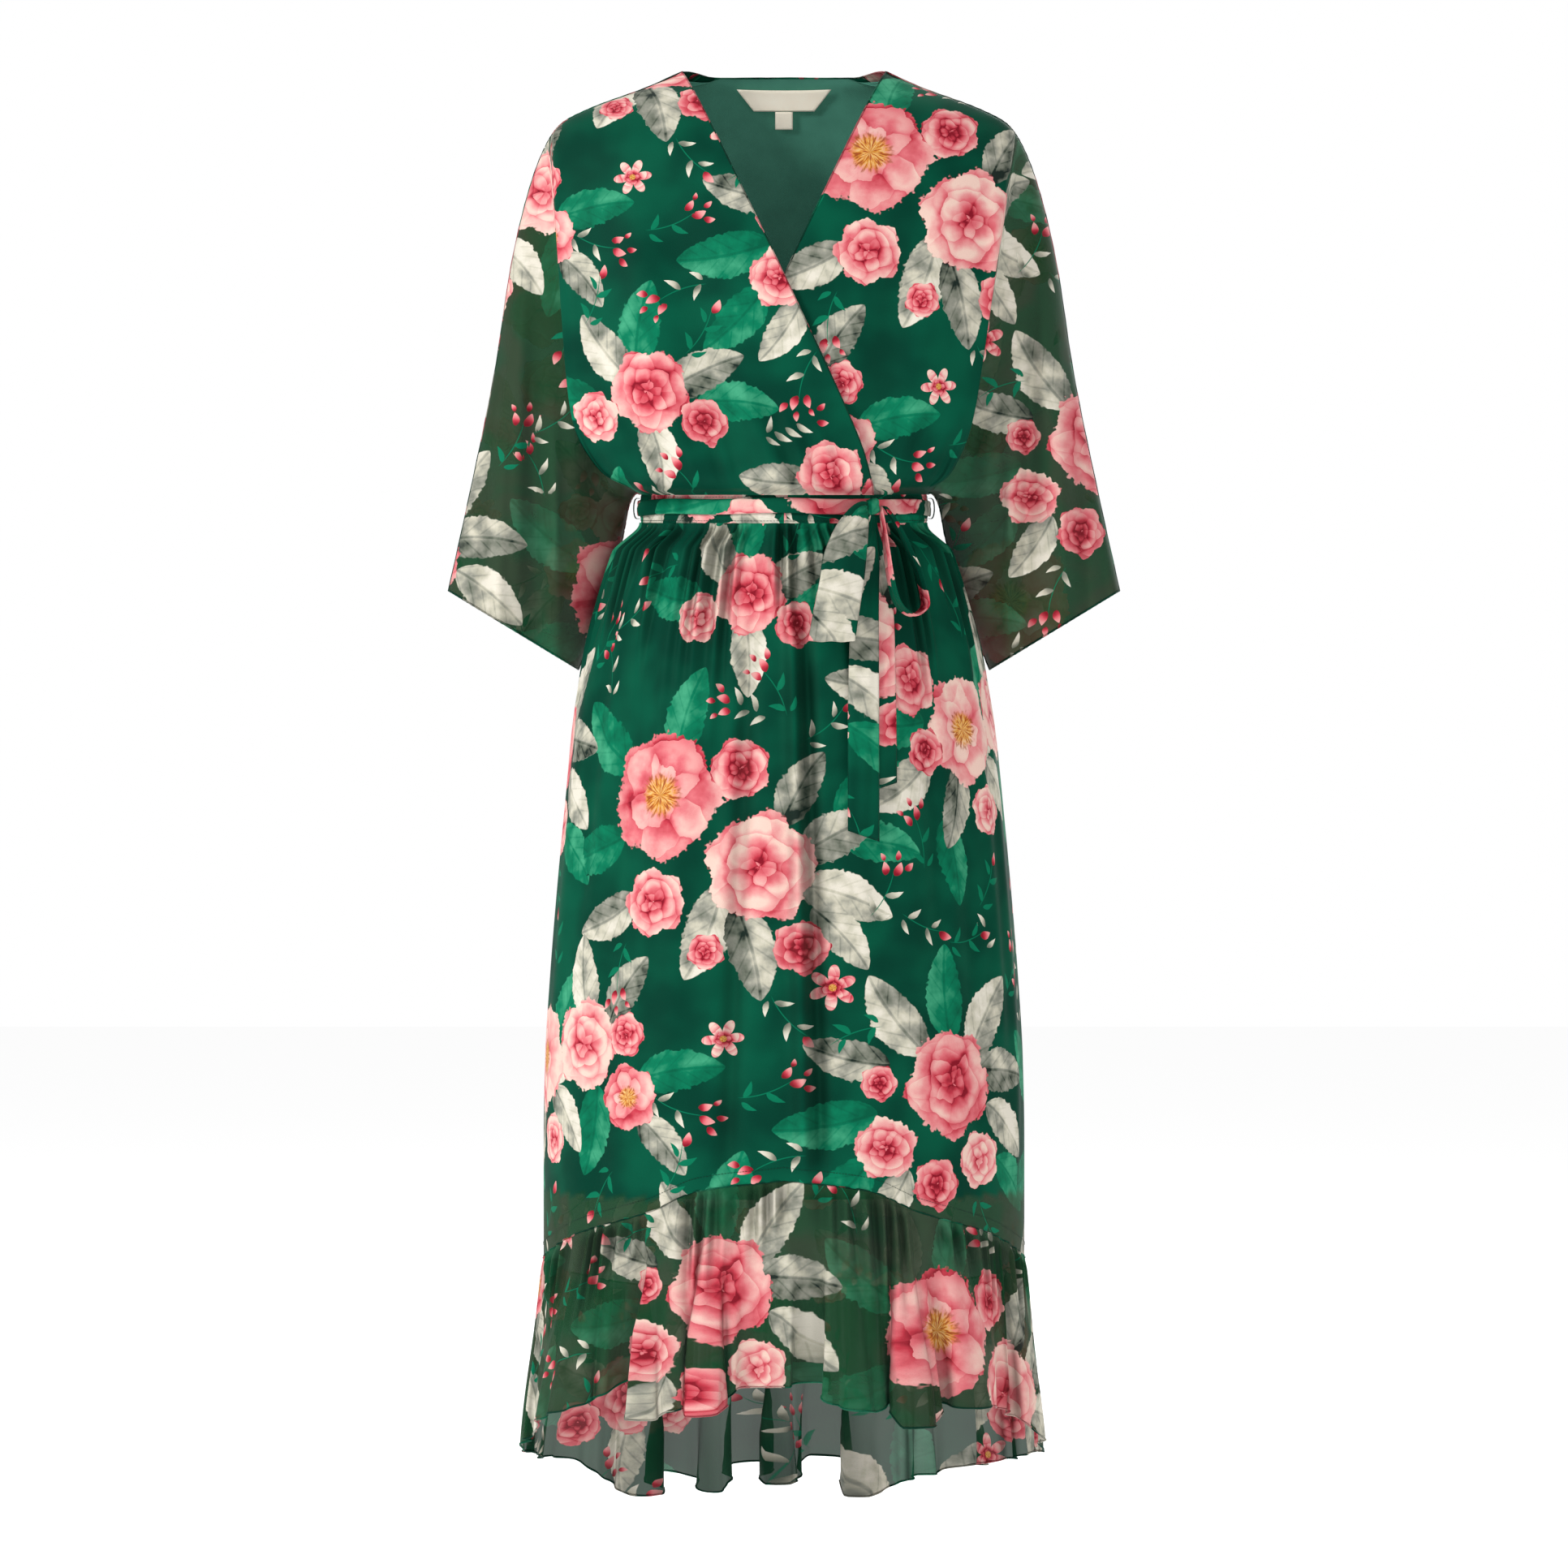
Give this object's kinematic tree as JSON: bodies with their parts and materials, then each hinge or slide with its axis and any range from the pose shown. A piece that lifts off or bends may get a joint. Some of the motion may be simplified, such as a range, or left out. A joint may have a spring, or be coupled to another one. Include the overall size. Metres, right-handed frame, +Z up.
{
  "type": "wrap dress",
  "caption": "Kimono-sleeved wrap dress held hollow as worn, with a gathered waist, a long skirt, a dipped ruffle hem and a tie belt knotted beside the centre.",
  "frame": {"origin": "midway between the two points where the neckline meets the shoulders, where the wearer's shoulders hold the dress up", "axes": "+Z up, +X towards the wearer's left, the front faces -Y"},
  "size_m": [0.6234, 0.3597, 1.3415],
  "materials": {
    "printed_chiffon": "soft, slightly sheer crepe, printed with flowers",
    "lining": "matt plain lining",
    "label": "satin ribbon, blank",
    "thread": "twisted thread"
  },
  "bodies": {
    "root": {"front_right": "printed_chiffon", "front_left": "printed_chiffon", "back": "printed_chiffon", "lining_back": "lining", "waist_casing": "printed_chiffon", "skirt_front": "printed_chiffon", "skirt_back": "printed_chiffon", "lining_skirt": "lining", "ruffle_front": "printed_chiffon", "ruffle_back": "printed_chiffon", "belt_band": "printed_chiffon", "belt_knot": "printed_chiffon", "belt_tail_long": "printed_chiffon", "belt_tail_short": "printed_chiffon", "bow_loop_wide": "printed_chiffon", "bow_loop_narrow": "printed_chiffon", "belt_carrier_left": "thread", "belt_carrier_right": "thread", "neck_label": "label", "size_tab": "label"}
  },
  "joints": []
}
